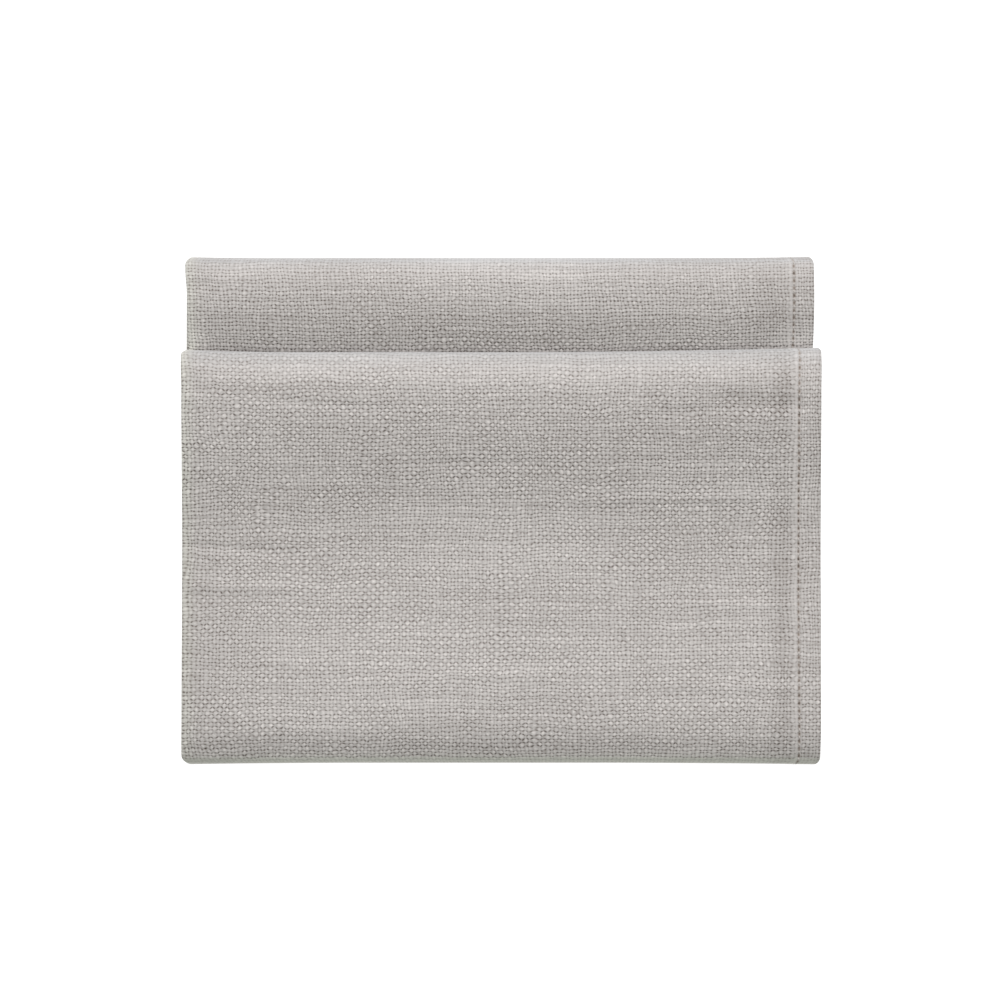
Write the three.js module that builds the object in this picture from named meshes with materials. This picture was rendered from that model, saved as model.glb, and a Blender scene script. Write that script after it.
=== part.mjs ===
// A square cloth napkin lying folded on a table, in millimetres.
// The cloth is folded in half, left edge closed and right edges hemmed, and the doubled cloth is then
// turned over on itself three times, always the same way, so that a strip shows behind the front panel.
// X runs along the folds towards the hemmed edges, Y towards the rear strip and Z up from the table.
import * as THREE from 'three';

// Cloth
const NAPKIN_SIDE = 450;
const PLY = 1.0;
const PLY_GAP = 0.2;
const LAYER_GAP = 0.7;

// Folded size
const FOLDED_WIDTH = NAPKIN_SIDE / 2;
const FOLDED_DEPTH = 178.2;
const STRIP_SHOWN = 33.4;
const FLAP_LENGTH = 22;

// Hem along the open edges, sewn down by one line of stitches in a shallow groove
const HEM_WIDTH = 10.5;
const HEM_RISE = 0.22;
const HEM_SLOPE = 1.2;
const STITCH_INSET = 8;
const GROOVE_DEPTH = 0.3;
const GROOVE_HALF_WIDTH = 0.8;
const EDGE_ROUNDING = 0.35;
const UNDER_HEM_SETBACK = 0.8;

// Unevenness of the stack, as shares of its height
const HEM_SIDE_LIFT = 0.03;
const HEM_SIDE_REACH = 30;
const SWELL_SHARE = 0.015;
const SWELL_LENGTH_X = 160;
const SWELL_LENGTH_Y = 120;

// How the bowed ends of the folds fade out, towards the neighbouring panels and along the fold
const BOW_HALF_DEPTH = 30;
const BOW_EASE = 1.5;

// Points across a flat ply and round the closed left side
const FLAT_POINTS = 6;
const HAIRPIN_STEPS = 5;

const LAYER = 2 * PLY + PLY_GAP;
const HALF_LAYER = LAYER / 2;
const PITCH = LAYER + LAYER_GAP;
const BACK_Z = HALF_LAYER;
const TUCK_Z = BACK_Z + PITCH;
const FLAP_Z = TUCK_Z + PITCH;
const HALF_WIDTH = FOLDED_WIDTH / 2;
const REAR_Y = FOLDED_DEPTH / 2;
const FRONT_TOP_Y = REAR_Y - STRIP_SHOWN;

// The three turned edges. side is 1 where the cloth turns back at its rear and -1 at its near end.
// radius is the midline's, and tilt is how far the upper panel climbs away from the edge, in degrees.
// leftIn and rightIn are how far the edge's two ends stand in from the sides of the folded napkin, and
// leftCorner and rightCorner how far its corners are rounded off. leftBow and rightBow are how far the
// ends swing towards the rear, over leftReach and rightReach. leadSteps and steps are the numbers of
// sections on the panel that runs into the fold and round the fold itself.
const FRONT_TOP_FOLD = {
  side: 1, tipY: FRONT_TOP_Y, lowZ: FLAP_Z, radius: 1.55, tilt: 34, leadSteps: 2, steps: 10,
  leftIn: 0.1, rightIn: -0.15, leftCorner: 2.1, rightCorner: 1.0,
  leftBow: 0.95, leftReach: 35, rightBow: 1.5, rightReach: 100,
};
const NEAR_FOLD = {
  side: -1, tipY: -REAR_Y, lowZ: BACK_Z, radius: 3.4, tilt: 25, leadSteps: 5, steps: 12,
  leftIn: 0.1, rightIn: 0, leftCorner: 2.4, rightCorner: 1.4,
  leftBow: -0.5, leftReach: 60, rightBow: -0.5, rightReach: 75,
};
const REAR_FOLD = {
  side: 1, tipY: REAR_Y, lowZ: BACK_Z, radius: 3.3, tilt: 26, leadSteps: 8, steps: 12,
  leftIn: 1.4, rightIn: 2.3, leftCorner: 1.6, rightCorner: 1.3,
  leftBow: 0.35, leftReach: 25, rightBow: 0.35, rightReach: 45,
};
const FOLDS = [FRONT_TOP_FOLD, NEAR_FOLD, REAR_FOLD];

// The crests and dips that the midline passes, from the flap's free end to the tucked-in end. slope is its
// climb towards the rear there, level for most. leftIn and rightIn are as on the folds, and steps is the
// number of sections on the way to each of them.
const FLAP_END = { y: FRONT_TOP_Y - FLAP_LENGTH, z: FLAP_Z, leftIn: 0.2, rightIn: 0.2 };
const FRONT_CREST = { y: 41.5, z: 13.2, slope: 0, leftIn: 0.55, rightIn: 0.15, steps: 5 };
const FRONT_DIP = { y: -13, z: 6.95, slope: 0, leftIn: 0.3, rightIn: -0.2, steps: 8 };
const NEAR_CREST = { y: -73, z: 10.4, slope: 0, leftIn: 0.35, rightIn: 0, steps: 7 };
const STRIP_CREST = { y: 75.5, z: 9.2, slope: 0, leftIn: 2.15, rightIn: 2.25, steps: 4 };
const STRIP_SLIP = { y: 54.5, z: 4.35, slope: 0.48, leftIn: 2.45, rightIn: 2.35, steps: 6 };
const TUCK_START = { y: 49, z: TUCK_Z, slope: 0, leftIn: 2.45, rightIn: 2.35, steps: 5 };
const TUCK_END = { z: TUCK_Z, slope: 0, leftIn: 2.45, rightIn: 2.35, steps: 4 };

// An arc of the midline, turning the cloth from one level to the level above or below it
function foldArc(fold) {
  const tilt = THREE.MathUtils.degToRad(fold.tilt);
  const start = fold.side > 0 ? -Math.PI / 2 : Math.PI / 2 + tilt;
  const end = fold.side > 0 ? Math.PI / 2 - tilt : 3 * Math.PI / 2;
  const centreY = fold.tipY - fold.side * (HALF_LAYER + fold.radius);
  const centreZ = fold.lowZ + fold.radius;
  return new THREE.EllipseCurve(centreY, centreZ, fold.radius, fold.radius, start, end);
}

// A panel of the midline between two points, leaving and arriving at the given slopes
function panelCurve(from, fromSlope, to, toSlope) {
  const third = (to.x - from.x) / 3;
  const leave = new THREE.Vector2(from.x + third, from.y + third * fromSlope);
  const arrive = new THREE.Vector2(to.x - third, to.y - third * toSlope);
  return new THREE.CubicBezierCurve(from, leave, arrive, to);
}

// The slope of a curve at one of its ends
function slopeAt(curve, t) {
  const tangent = curve.getTangent(t);
  return tangent.y / tangent.x;
}

// The midline's pieces in order, each with the rows that give its sides at its two ends
function midlinePieces() {
  const pieces = [];
  let point = new THREE.Vector2(FLAP_END.y, FLAP_END.z);
  let slope = 0;
  let row = FLAP_END;

  function addPanel(nextPoint, nextSlope, nextRow, steps) {
    const curve = panelCurve(point, slope, nextPoint, nextSlope);
    pieces.push({ curve, from: row, to: nextRow, steps, corner: null });
    point = nextPoint;
    slope = nextSlope;
    row = nextRow;
  }

  function addStop(nextRow) {
    addPanel(new THREE.Vector2(nextRow.y, nextRow.z), nextRow.slope, nextRow, nextRow.steps);
  }

  function addFold(fold) {
    const curve = foldArc(fold);
    addPanel(curve.getPoint(0), slopeAt(curve, 0), fold, fold.leadSteps);
    pieces.push({ curve, from: fold, to: fold, steps: fold.steps, corner: fold });
    point = curve.getPoint(1);
    slope = slopeAt(curve, 1);
  }

  addFold(FRONT_TOP_FOLD);
  [FRONT_CREST, FRONT_DIP, NEAR_CREST].forEach(addStop);
  addFold(NEAR_FOLD);
  addFold(REAR_FOLD);
  [STRIP_CREST, STRIP_SLIP, TUCK_START].forEach(addStop);

  // The tuck takes up what is left of the cloth's length
  const used = pieces.reduce((sum, piece) => sum + piece.curve.getLength(), 0);
  addStop({ ...TUCK_END, y: TUCK_START.y - (NAPKIN_SIDE - used) });
  return pieces;
}

// The sections of the doubled cloth along its midline: place, outward direction and the two sides
function sections() {
  const list = [];
  midlinePieces().forEach((piece, index) => {
    for (let step = index === 0 ? 0 : 1; step <= piece.steps; step += 1) {
      const t = step / piece.steps;
      const point = piece.curve.getPoint(t);
      const tangent = piece.curve.getTangent(t);
      const pinch = piece.corner ? Math.sin(Math.PI * t) ** 2 : 0;
      const ease = THREE.MathUtils.smoothstep(t, 0, 1);
      const leftIn = THREE.MathUtils.lerp(piece.from.leftIn, piece.to.leftIn, ease);
      const rightIn = THREE.MathUtils.lerp(piece.from.rightIn, piece.to.rightIn, ease);
      list.push({
        y: point.x,
        z: point.y,
        outY: tangent.y,
        outZ: -tangent.x,
        left: -HALF_WIDTH + leftIn + (piece.corner ? piece.corner.leftCorner * pinch : 0),
        right: HALF_WIDTH - rightIn - (piece.corner ? piece.corner.rightCorner * pinch : 0),
      });
    }
  });
  return list;
}

// The outside of a hem, from its edge inwards: distance from the edge, and height over the plain cloth
const HEM_FACE = [
  { inset: 0, lift: HEM_RISE - EDGE_ROUNDING },
  { inset: EDGE_ROUNDING, lift: HEM_RISE },
  { inset: STITCH_INSET - GROOVE_HALF_WIDTH, lift: HEM_RISE },
  { inset: STITCH_INSET, lift: HEM_RISE - GROOVE_DEPTH },
  { inset: STITCH_INSET + GROOVE_HALF_WIDTH, lift: HEM_RISE },
  { inset: HEM_WIDTH - HEM_SLOPE / 2, lift: HEM_RISE },
  { inset: HEM_WIDTH + HEM_SLOPE / 2, lift: 0 },
];

// Points of a section have a share of the way from the left side to the right, a shift along X and
// a height off the midline. ply is 1 for the outer ply and -1 for the under ply, whose hem stands back.
function plyPoints(ply, outside) {
  const setback = ply > 0 ? 0 : UNDER_HEM_SETBACK;
  const hem = HEM_FACE.map(({ inset, lift }) => {
    const height = outside ? HALF_LAYER + lift : PLY_GAP / 2;
    return { share: 1, shift: -inset - setback, height: ply * height };
  });
  const flat = Array.from({ length: FLAT_POINTS }, (_, index) => {
    const height = outside ? HALF_LAYER : PLY_GAP / 2;
    return { share: 1 - (index + 1) / (FLAT_POINTS + 1), shift: 0, height: ply * height };
  });
  return [...hem, ...flat];
}

// The closed left side, where the outer ply turns into the under ply
function hairpinPoints(radius) {
  return Array.from({ length: HAIRPIN_STEPS + 1 }, (_, index) => {
    const angle = Math.PI * (0.5 + index / HAIRPIN_STEPS);
    return { share: 0, shift: HALF_LAYER + radius * Math.cos(angle), height: radius * Math.sin(angle) };
  });
}

// One side of the cloth in a section, from the outer ply's hem round the hairpin to the under ply's hem
function rail(outside) {
  const radius = outside ? HALF_LAYER : PLY_GAP / 2;
  return [...plyPoints(1, outside), ...hairpinPoints(radius), ...plyPoints(-1, outside).reverse()];
}

// How far the cloth at a place swings to the rear, with the ends of the fold that is nearest
function bowAt(x, y) {
  return FOLDS.reduce((sum, fold) => {
    const near = Math.max(0, 1 - Math.abs(y - fold.tipY) / BOW_HALF_DEPTH) ** 2;
    const fromLeft = Math.max(0, 1 - (x + HALF_WIDTH) / fold.leftReach) ** BOW_EASE;
    const fromRight = Math.max(0, 1 - (HALF_WIDTH - x) / fold.rightReach) ** BOW_EASE;
    return sum + near * (fold.leftBow * fromLeft + fold.rightBow * fromRight);
  }, 0);
}

// The stack's height at a place as a share of its even height: higher at the hems, and slowly uneven
function heightShare(x, y) {
  const hemSide = THREE.MathUtils.smoothstep(x, HALF_WIDTH - HEM_SIDE_REACH, HALF_WIDTH);
  const swellX = Math.sin((2 * Math.PI * x) / SWELL_LENGTH_X);
  const swellY = Math.cos((2 * Math.PI * y) / SWELL_LENGTH_Y);
  return 1 + HEM_SIDE_LIFT * hemSide + SWELL_SHARE * swellX * swellY;
}

// A point of a section in space. What would reach below the table is pressed flat on it.
function placePoint(section, { share, shift, height }) {
  const x = THREE.MathUtils.lerp(section.left, section.right, share) + shift;
  const y = section.y + height * section.outY;
  const z = section.z + height * section.outZ;
  return [x, y + bowAt(x, y), Math.max(0, z * heightShare(x, y))];
}

// The section carried along the midline, with its two ends closed, set on the table about its middle
function napkinGeometry() {
  const outer = rail(true);
  const outline = [...outer, ...rail(false).reverse()];
  const stations = sections();
  const count = outline.length;
  const positions = stations.flatMap((section) => outline.flatMap((row) => placePoint(section, row)));

  const faces = [];
  function addQuad(a, b, c, d) {
    faces.push(a, b, c, b, d, c);
  }
  for (let along = 0; along < stations.length - 1; along += 1) {
    for (let around = 0; around < count; around += 1) {
      const a = along * count + around;
      const b = along * count + (around + 1) % count;
      addQuad(a, b, a + count, b + count);
    }
  }

  // Rungs from each point of the outer side to its partner on the inner side close the two ends
  const last = (stations.length - 1) * count;
  for (let a = 0; a < outer.length - 1; a += 1) {
    const partner = count - 1 - a;
    addQuad(a, partner, a + 1, partner - 1);
    addQuad(last + a, last + a + 1, last + partner, last + partner - 1);
  }

  const geometry = new THREE.BufferGeometry();
  geometry.setAttribute('position', new THREE.Float32BufferAttribute(positions, 3));
  geometry.setIndex(faces);
  geometry.computeBoundingBox();
  const middle = geometry.boundingBox.getCenter(new THREE.Vector3());
  geometry.translate(-middle.x, -middle.y, 0);
  geometry.computeVertexNormals();
  return geometry;
}

const linen = new THREE.MeshStandardMaterial({ color: 0xb7b1ac, roughness: 0.95, metalness: 0 });

const napkin = new THREE.Mesh(napkinGeometry(), linen);
napkin.name = 'napkin';

const foldedNapkin = new THREE.Group();
foldedNapkin.add(napkin);

export default foldedNapkin;
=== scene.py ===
import math

import bpy
import numpy as np
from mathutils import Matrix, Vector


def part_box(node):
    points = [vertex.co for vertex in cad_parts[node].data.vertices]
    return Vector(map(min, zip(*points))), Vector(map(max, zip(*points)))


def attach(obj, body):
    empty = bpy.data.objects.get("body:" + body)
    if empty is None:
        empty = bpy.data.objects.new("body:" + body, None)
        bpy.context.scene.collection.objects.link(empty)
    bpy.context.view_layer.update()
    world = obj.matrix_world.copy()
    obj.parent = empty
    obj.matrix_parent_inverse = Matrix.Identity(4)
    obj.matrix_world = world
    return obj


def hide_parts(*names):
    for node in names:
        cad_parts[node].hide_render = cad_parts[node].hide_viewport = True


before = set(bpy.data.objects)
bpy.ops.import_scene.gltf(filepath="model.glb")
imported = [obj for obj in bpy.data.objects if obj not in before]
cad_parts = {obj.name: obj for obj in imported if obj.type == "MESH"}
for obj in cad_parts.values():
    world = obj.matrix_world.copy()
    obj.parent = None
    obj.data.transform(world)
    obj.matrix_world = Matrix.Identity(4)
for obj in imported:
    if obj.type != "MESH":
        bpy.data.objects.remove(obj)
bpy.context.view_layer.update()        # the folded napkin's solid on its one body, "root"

mm = 0.001
print("frame loaded, nodes:", sorted(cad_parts))


# Node wiring

class Wire:
    # one socket of a material; sums on it add Math nodes
    def __init__(self, look, socket):
        self.look = look
        self.socket = socket

    def output(self, number):
        # another output of the same node
        return Wire(self.look, self.socket.node.outputs[number])

    def __add__(self, other):
        return self.look.sum("ADD", self, other)

    def __radd__(self, other):
        return self.look.sum("ADD", other, self)

    def __sub__(self, other):
        return self.look.sum("SUBTRACT", self, other)

    def __rsub__(self, other):
        return self.look.sum("SUBTRACT", other, self)

    def __mul__(self, other):
        return self.look.sum("MULTIPLY", self, other)

    def __rmul__(self, other):
        return self.look.sum("MULTIPLY", other, self)

    def __truediv__(self, other):
        return self.look.sum("DIVIDE", self, other)

    def __rtruediv__(self, other):
        return self.look.sum("DIVIDE", other, self)

    def __pow__(self, other):
        return self.look.sum("POWER", self, other)

    def __rpow__(self, other):
        return self.look.sum("POWER", other, self)


class Look:
    # a material and the nodes in it
    def __init__(self, name):
        self.material = bpy.data.materials.new(name)
        self.material.use_nodes = True
        self.tree = self.material.node_tree
        self.tree.nodes.clear()

    def add(self, kind, settings=None, out=0, **sockets):
        # any node: its settings first, then what its sockets hold or are linked to (s0, s1 go by number)
        node = self.tree.nodes.new(kind)
        for key, value in (settings or {}).items():
            setattr(node, key, value)
        for key, value in sockets.items():
            name = int(key[1:]) if key[0] == "s" and key[1:].isdigit() else key.replace("_", " ")
            if isinstance(value, Wire):
                self.tree.links.new(value.socket, node.inputs[name])
            else:
                node.inputs[name].default_value = value
        return Wire(self, node.outputs[out]) if node.outputs else None

    def sum(self, operation, a, b=0.0):
        # one Math node
        return self.add("ShaderNodeMath", {"operation": operation}, s0=a, s1=b)

    def clamp(self, value, low, high):
        # the value, held between low and high
        return self.sum("MINIMUM", self.sum("MAXIMUM", value, low), high)

    def bell(self, value, width):
        # 1 on the line, falling off over the given width
        share = value / width
        return self.sum("EXPONENT", share * share * -1.0)

    def side(self, number):
        # 1 for even whole numbers, -1 for odd ones
        return 1 - self.sum("FLOORED_MODULO", number, 2.0) * 2

    def place(self, x, y, z):
        # three values as one vector
        return self.add("ShaderNodeCombineXYZ", s0=x, s1=y, s2=z)

    def noise(self, x, y, seed, detail=0.0):
        # smooth noise about 0, mostly within -1 and 1
        spread = 2.8         # the node's own values crowd round 0.5
        fac = self.add("ShaderNodeTexNoise", {"noise_dimensions": "3D"}, Vector=self.place(x, y, seed),
                       Scale=1.0, Detail=detail, Roughness=0.55)
        return (fac - 0.5) * spread

    def chance(self, x, y, seed):
        # a steady random number between -0.5 and 0.5 for each pair of whole numbers
        place = self.place(x, y, seed)
        return self.add("ShaderNodeTexWhiteNoise", {"noise_dimensions": "3D"}, Vector=place) - 0.5

    def stored(self, name):
        # a value kept on the piece's points
        return self.add("ShaderNodeAttribute", {"attribute_name": name}, out=2)

    def blend(self, factor, a, b):
        # colours go through Mix: a where the factor is 0, b where it is 1
        return self.add("ShaderNodeMix", {"data_type": "RGBA"}, out=2, s0=factor, s6=a, s7=b)


# The fold

# Sizes in millimetres. The doubled cloth runs from a hidden flap over the front panel, under itself as the
# back panel, round to the rear strip and in again as a tuck under the front panel.
cloth = dict(
    side=450.0,              # the napkin laid flat
    depth=178.2,             # folded, from the near fold to the rear fold
    stripShown=33.4,         # the rear strip, behind the front panel's top fold
    flap=22.0,               # the hidden end under the front panel
    ply=1.0, plyGap=0.2, layerGap=0.7,                      # thickness, room between plies and layers
    hemSideLift=0.03, hemSideReach=30.0,                    # the hems raise their side of the stack
    swellShare=0.015, swellAcross=160.0, swellAlong=120.0,  # slow unevenness of the stack
    bowHalfDepth=30.0, bowEase=1.5,                         # how the bows of the edges fade out
    shownStep=0.9, hiddenStep=4.0, foldSteps=26,            # mesh fineness
)
layer = 2 * cloth["ply"] + cloth["plyGap"]
halfLayer = layer / 2
layerPitch = layer + cloth["layerGap"]
backZ = halfLayer
tuckZ = backZ + layerPitch
flapZ = tuckZ + layerPitch
halfWidth = cloth["side"] / 4
foldedWidth = 2 * halfWidth
rearY = cloth["depth"] / 2
frontTopY = rearY - cloth["stripShown"]

# The turned edges: where each tip lies, how tight it is, how steeply the upper panel leaves it, how far its
# ends stand in, how far its corners round off and how far its ends bow towards the rear. Where a stop of the
# route is hidden, the cloth that leads to it doesn't show and is meshed in longer steps.
frontTopFold = dict(
    facing=1, tipY=frontTopY, lowZ=flapZ, hidden=True, radius=1.55, tilt=34.0, leftIn=0.1, rightIn=-0.15,
    leftCorner=2.1, rightCorner=1.0, leftBow=0.95, leftReach=35.0, rightBow=1.5, rightReach=100.0,
)
nearFold = dict(
    facing=-1, tipY=-rearY, lowZ=backZ, hidden=False, radius=3.4, tilt=25.0, leftIn=0.1, rightIn=0.0,
    leftCorner=2.4, rightCorner=1.4, leftBow=-0.5, leftReach=60.0, rightBow=-0.5, rightReach=75.0,
)
rearFold = dict(
    facing=1, tipY=rearY, lowZ=backZ, hidden=True, radius=3.3, tilt=26.0, leftIn=1.4, rightIn=2.3,
    leftCorner=1.6, rightCorner=1.3, leftBow=0.35, leftReach=25.0, rightBow=0.35, rightReach=45.0,
)
turnedEdges = [frontTopFold, nearFold, rearFold]

# The crests and dips that the midline passes, level but for one, and its two free ends
route = [
    dict(y=frontTopY - cloth["flap"], z=flapZ, leftIn=0.2, rightIn=0.2),
    frontTopFold,
    dict(y=41.5, z=13.2, leftIn=0.55, rightIn=0.15),                  # crest of the front panel
    dict(y=-13.0, z=6.95, leftIn=0.3, rightIn=-0.2),                  # dip past the flap
    dict(y=-73.0, z=10.4, leftIn=0.35, rightIn=0.0),                  # crest before the near fold
    nearFold,
    rearFold,
    dict(y=75.5, z=9.2, leftIn=2.15, rightIn=2.25),                   # crest of the strip
    dict(y=54.5, z=4.35, slope=0.48, leftIn=2.45, rightIn=2.35),      # where it slips under the front panel
    dict(y=49.0, z=tuckZ, leftIn=2.45, rightIn=2.35),                 # level again under the front panel
    dict(y=None, z=tuckZ, hidden=True, leftIn=2.45, rightIn=2.35),    # tucked end, where the cloth runs out
]


def eased(low, high, value):
    # smoothstep: 0 below low, 1 above high
    t = np.clip((value - low) / (high - low), 0, 1)
    return t * t * (3 - 2 * t)


def slowNoise(x, y, seed):
    # chance heights between -1 and 1 on a square lattice, eased between its points
    size = 64
    heights = np.random.default_rng(seed).uniform(-1, 1, (size, size))
    column, row = np.floor(x).astype(int), np.floor(y).astype(int)
    u, v = eased(0, 1, x - column), eased(0, 1, y - row)
    left, right = column % size, (column + 1) % size
    near, far = row % size, (row + 1) % size
    nearHeight = heights[near, left] * (1 - u) + heights[near, right] * u
    farHeight = heights[far, left] * (1 - u) + heights[far, right] * u
    return nearHeight * (1 - v) + farHeight * v


def arcRows(edge):
    # circle about a centre one radius and one half layer in from the tip; the ends pinch in as sine squared
    tilt = math.radians(edge["tilt"])
    quarter = math.pi / 2
    first, last = (-quarter, quarter - tilt) if edge["facing"] > 0 else (quarter + tilt, 3 * quarter)
    t = np.linspace(0, 1, cloth["foldSteps"] + 1)
    angle = first + (last - first) * t
    pinch = np.sin(math.pi * t) ** 2
    y = edge["tipY"] - edge["facing"] * (halfLayer + edge["radius"]) + edge["radius"] * np.cos(angle)
    z = edge["lowZ"] + edge["radius"] + edge["radius"] * np.sin(angle)
    leftIn = edge["leftIn"] + edge["leftCorner"] * pinch
    rightIn = edge["rightIn"] + edge["rightCorner"] * pinch
    return np.column_stack([y, z, -np.sin(angle), np.cos(angle), leftIn, rightIn])


def panelRows(start, startSlope, end, endSlope, fromRow, toRow):
    # cubic curve whose two handles lie a third of the way along the slopes at its ends
    third = (end[0] - start[0]) / 3
    a, d = np.array(start), np.array(end)
    b, c = a + third * np.array([1, startSlope]), d - third * np.array([1, endSlope])
    step = cloth["hiddenStep"] if toRow.get("hidden") else cloth["shownStep"]
    t = np.linspace(0, 1, max(3, int(abs(d[0] - a[0]) / step)) + 1)[:, None]
    point = (1 - t) ** 3 * a + 3 * (1 - t) ** 2 * t * b + 3 * (1 - t) * t ** 2 * c + t ** 3 * d
    run = 3 * (1 - t) ** 2 * (b - a) + 6 * (1 - t) * t * (c - b) + 3 * t ** 2 * (d - c)
    run = run / np.linalg.norm(run, axis=1, keepdims=True)
    leftIn = fromRow["leftIn"] + (toRow["leftIn"] - fromRow["leftIn"]) * eased(0, 1, t)
    rightIn = fromRow["rightIn"] + (toRow["rightIn"] - fromRow["rightIn"]) * eased(0, 1, t)
    return np.column_stack([point, run, leftIn, rightIn])


def stepLengths(points):
    # straight distance from each point to the next
    return np.linalg.norm(np.diff(points, axis=0), axis=1)


# Looks that change at the turned edges, by how steeply the cloth runs: 1 straight up, -1 straight down
foldLook = dict(
    turned=(0.2, 0.75),
    rim=(0.5, 0.9),                                 # painted shade on the rear fold's very edge
    nearTurned=(0.32, 0.62), nearOver=0.4,          # painted bounce light on the near fold, but for its underside
    # the weave's painted shade and highlights, scaled by steepness:
    open=1.04, contrastDrop=0.9, leastContrast=0.25,         # fainter where the cloth climbs over a fold, stronger where the strip runs down to the front panel and before the near fold and fainter again round it
    stripContrastGain=0.75, stripSteepest=0.5,           # opens where the strip runs down to the front panel
    nearContrastGain=0.15, nearGainRange=(0.12, 0.3),        # and before the near fold
    nearContrastDrop=0.85, nearDropRange=(0.32, 0.72),      # and closes again round it
)


def lookAlong(y, runY, runZ):
    # eased steps over the steepness, one for each change of look
    turn = eased(*foldLook["turned"], np.abs(runZ))
    nearTurn = eased(*foldLook["nearTurned"], -runZ) * (y < 0) * eased(0, foldLook["nearOver"], -runY)
    climb = np.clip(foldLook["open"] - foldLook["contrastDrop"] * runZ, foldLook["leastContrast"], foldLook["open"])
    stripChange = foldLook["stripContrastGain"] * np.clip(-runZ, 0, foldLook["stripSteepest"])
    nearChange = (foldLook["nearContrastGain"] * eased(*foldLook["nearGainRange"], -runZ)
                  - foldLook["nearContrastDrop"] * eased(*foldLook["nearDropRange"], -runZ))
    return dict(
        turn=turn,
        paintedSheen=turn * (runZ > 0),          # painted sheen along the two rear edges, which face the light
        rim=eased(*foldLook["rim"], runZ) * (y > frontTopY),
        nearTurn=nearTurn,
        open=climb + np.where(y > 0, stripChange, nearChange),
    )


def traceMidline():
    # arcs at the turned edges joined by panels; the tuck takes what is left of the cloth's length
    blocks = []
    here, slope, row = None, 0.0, None
    for stop in route:
        turned = "radius" in stop
        arc = arcRows(stop) if turned else None
        if turned:
            target, targetSlope = arc[0, :2], arc[0, 3] / arc[0, 2]
        elif stop["y"] is None:
            used = sum(stepLengths(block[:, :2]).sum() for block in blocks)
            target, targetSlope = np.array([here[0] - (cloth["side"] - used), stop["z"]]), 0.0
        else:
            target, targetSlope = np.array([stop["y"], stop["z"]]), stop.get("slope", 0.0)
        if here is not None:
            blocks.append(panelRows(here, slope, target, targetSlope, row, stop))
        here, slope, row = target, targetSlope, stop
        if turned:
            blocks.append(arc)
            here, slope = arc[-1, :2], arc[-1, 3] / arc[-1, 2]
    table = np.concatenate([blocks[0]] + [block[1:] for block in blocks[1:]])
    y, z, runY, runZ, leftIn, rightIn = table.T
    line = dict(y=y, z=z, outY=runZ, outZ=-runY, left=-halfWidth + leftIn, right=halfWidth - rightIn)
    # length along the outer face, which is the one that shows
    face = np.column_stack([y + halfLayer * line["outY"], z + halfLayer * line["outZ"]])
    line["along"] = np.concatenate([[0], np.cumsum(stepLengths(face))])
    line["toStrip"] = towardStrip(line["along"], y)
    line["stitchIn"] = stitchLine(line["along"], y)
    # 1 on the front panel and on the strip
    nearTip = int(y.argmin())
    order = np.arange(len(y))
    line["front"] = ((order > y[:nearTip].argmax()) & (order < nearTip)).astype(float)
    line["strip"] = ((order > nearTip + y[nearTip:].argmax()) & (y > frontTopY)).astype(float)
    line.update(lookAlong(y, runY, runZ))
    return line


# Soft creases in the front panel and the strip, in plan: two ends as x, y, x, y, half width, and height,
# which is below zero for troughs
creases = [
    dict(ends=(44.0, -61.6, 118.0, -63.2), width=1.5, height=0.27),
    dict(ends=(14.0, 3.6, 118.0, 4.9), width=1.7, height=0.27),
    dict(ends=(46.0, -32.8, 116.0, -33.8), width=1.7, height=0.24),
    dict(ends=(-130.0, -10.6, -62.0, -16.4), width=1.9, height=-0.36),
    dict(ends=(-130.0, -26.4, -58.0, -28.2), width=1.8, height=0.3),
    dict(ends=(-38.0, 17.1, 24.0, 16.7), width=1.6, height=-0.2),
    dict(ends=(44.0, 34.2, 116.0, 35.9), width=2.2, height=-0.32),
    dict(ends=(66.0, 39.2, 112.0, 37.6), width=2.6, height=-0.45),
    dict(ends=(-90.0, 39.6, -30.0, 34.2), width=1.6, height=-0.26),
    dict(ends=(-24.0, -58.0, 24.0, -58.9), width=1.5, height=0.18),
    dict(ends=(-120.0, 44.8, -101.0, 43.4), width=2.6, height=-0.53),
    dict(ends=(-122.0, 80.4, -98.0, 78.6), width=2.4, height=-0.42),
]
creaseFade = 0.3         # share of a crease's length that fades out at each end


def creaseLift(x, y):
    # sum of bells across each crease's line, faded out towards its two ends
    lift = np.zeros(np.broadcast(x, y).shape)
    for crease in creases:
        fromX, fromY, toX, toY = crease["ends"]
        share = (x - fromX) / (toX - fromX)
        fade = eased(0, creaseFade, share) * eased(0, creaseFade, 1 - share)
        off = (y - fromY - (toY - fromY) * share) / crease["width"]
        lift += crease["height"] * fade * np.exp(-off ** 2)
    return lift


def bowAt(x, y):
    # sum over the turned edges of how far each end swings, fading along the edge and away from it
    bow = np.zeros_like(x)
    for edge in turnedEdges:
        near = np.maximum(0, 1 - np.abs(y - edge["tipY"]) / cloth["bowHalfDepth"]) ** 2
        fromLeft = np.maximum(0, 1 - (x + halfWidth) / edge["leftReach"]) ** cloth["bowEase"]
        fromRight = np.maximum(0, 1 - (halfWidth - x) / edge["rightReach"]) ** cloth["bowEase"]
        bow += near * (edge["leftBow"] * fromLeft + edge["rightBow"] * fromRight)
    return bow


def heightShare(x, y):
    # 1 plus the lift on the hem side plus a slow wave both ways
    hemSide = eased(halfWidth - cloth["hemSideReach"], halfWidth, x)
    wave = np.sin(2 * math.pi * x / cloth["swellAcross"]) * np.cos(2 * math.pi * y / cloth["swellAlong"])
    return 1 + cloth["hemSideLift"] * hemSide + cloth["swellShare"] * wave


def planX(line, share, shift):
    # between the two sides by share, moved across by shift
    return line["left"] + share * (line["right"] - line["left"]) + shift


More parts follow.
